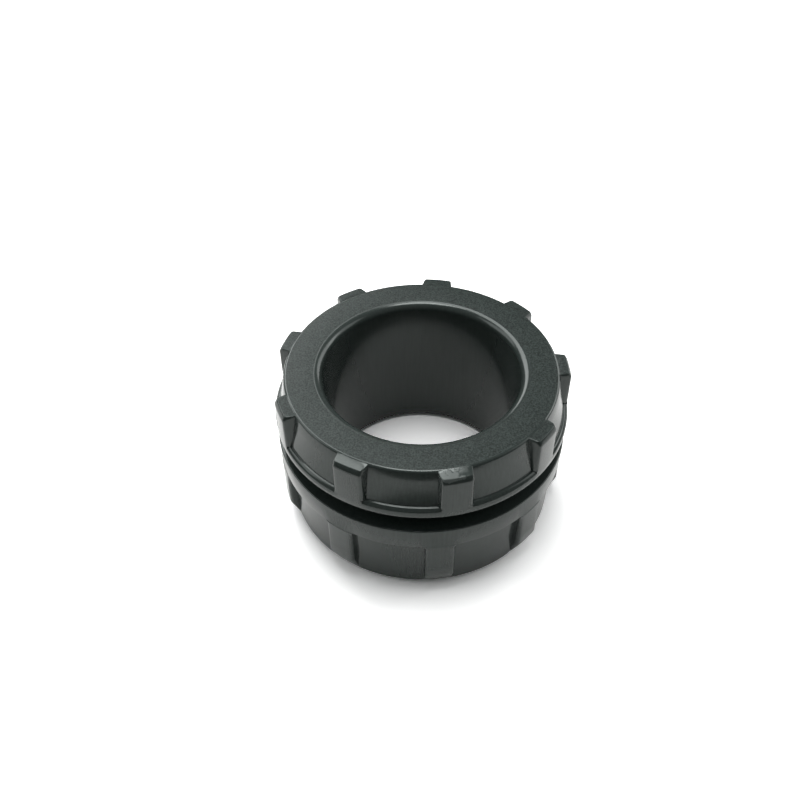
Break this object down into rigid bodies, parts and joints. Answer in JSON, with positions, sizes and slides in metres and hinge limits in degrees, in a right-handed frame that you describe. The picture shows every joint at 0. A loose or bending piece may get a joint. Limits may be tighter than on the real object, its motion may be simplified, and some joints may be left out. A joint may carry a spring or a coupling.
{
  "type": "cable bushing",
  "caption": "Cable bushing for a panel hole: a lugged head with a smooth round-lipped bore on a threaded sleeve, clamped by a ribbed ring nut.",
  "frame": {"origin": "on the bore's axis, at the ring nut's lower face, which stands on the table", "axes": "+Z along the bore, from the nut to the head's flat face; +X through the middle of one lug"},
  "size_m": [0.0518, 0.0518, 0.0294],
  "materials": {
    "black_plastic": "moulded black plastic, satin on the sides and finely textured on the flat face"
  },
  "bodies": {
    "head": {"bushing_head": "black_plastic"},
    "nut": {"ring_nut": "black_plastic"}
  },
  "joints": [
    {"name": "nut_turn", "type": "hinge", "parent": "head", "child": "nut", "pos_m": [0, 0, 0.00845], "axis": [0, 0, 1], "range_deg": [-2520, 540]}
  ]
}
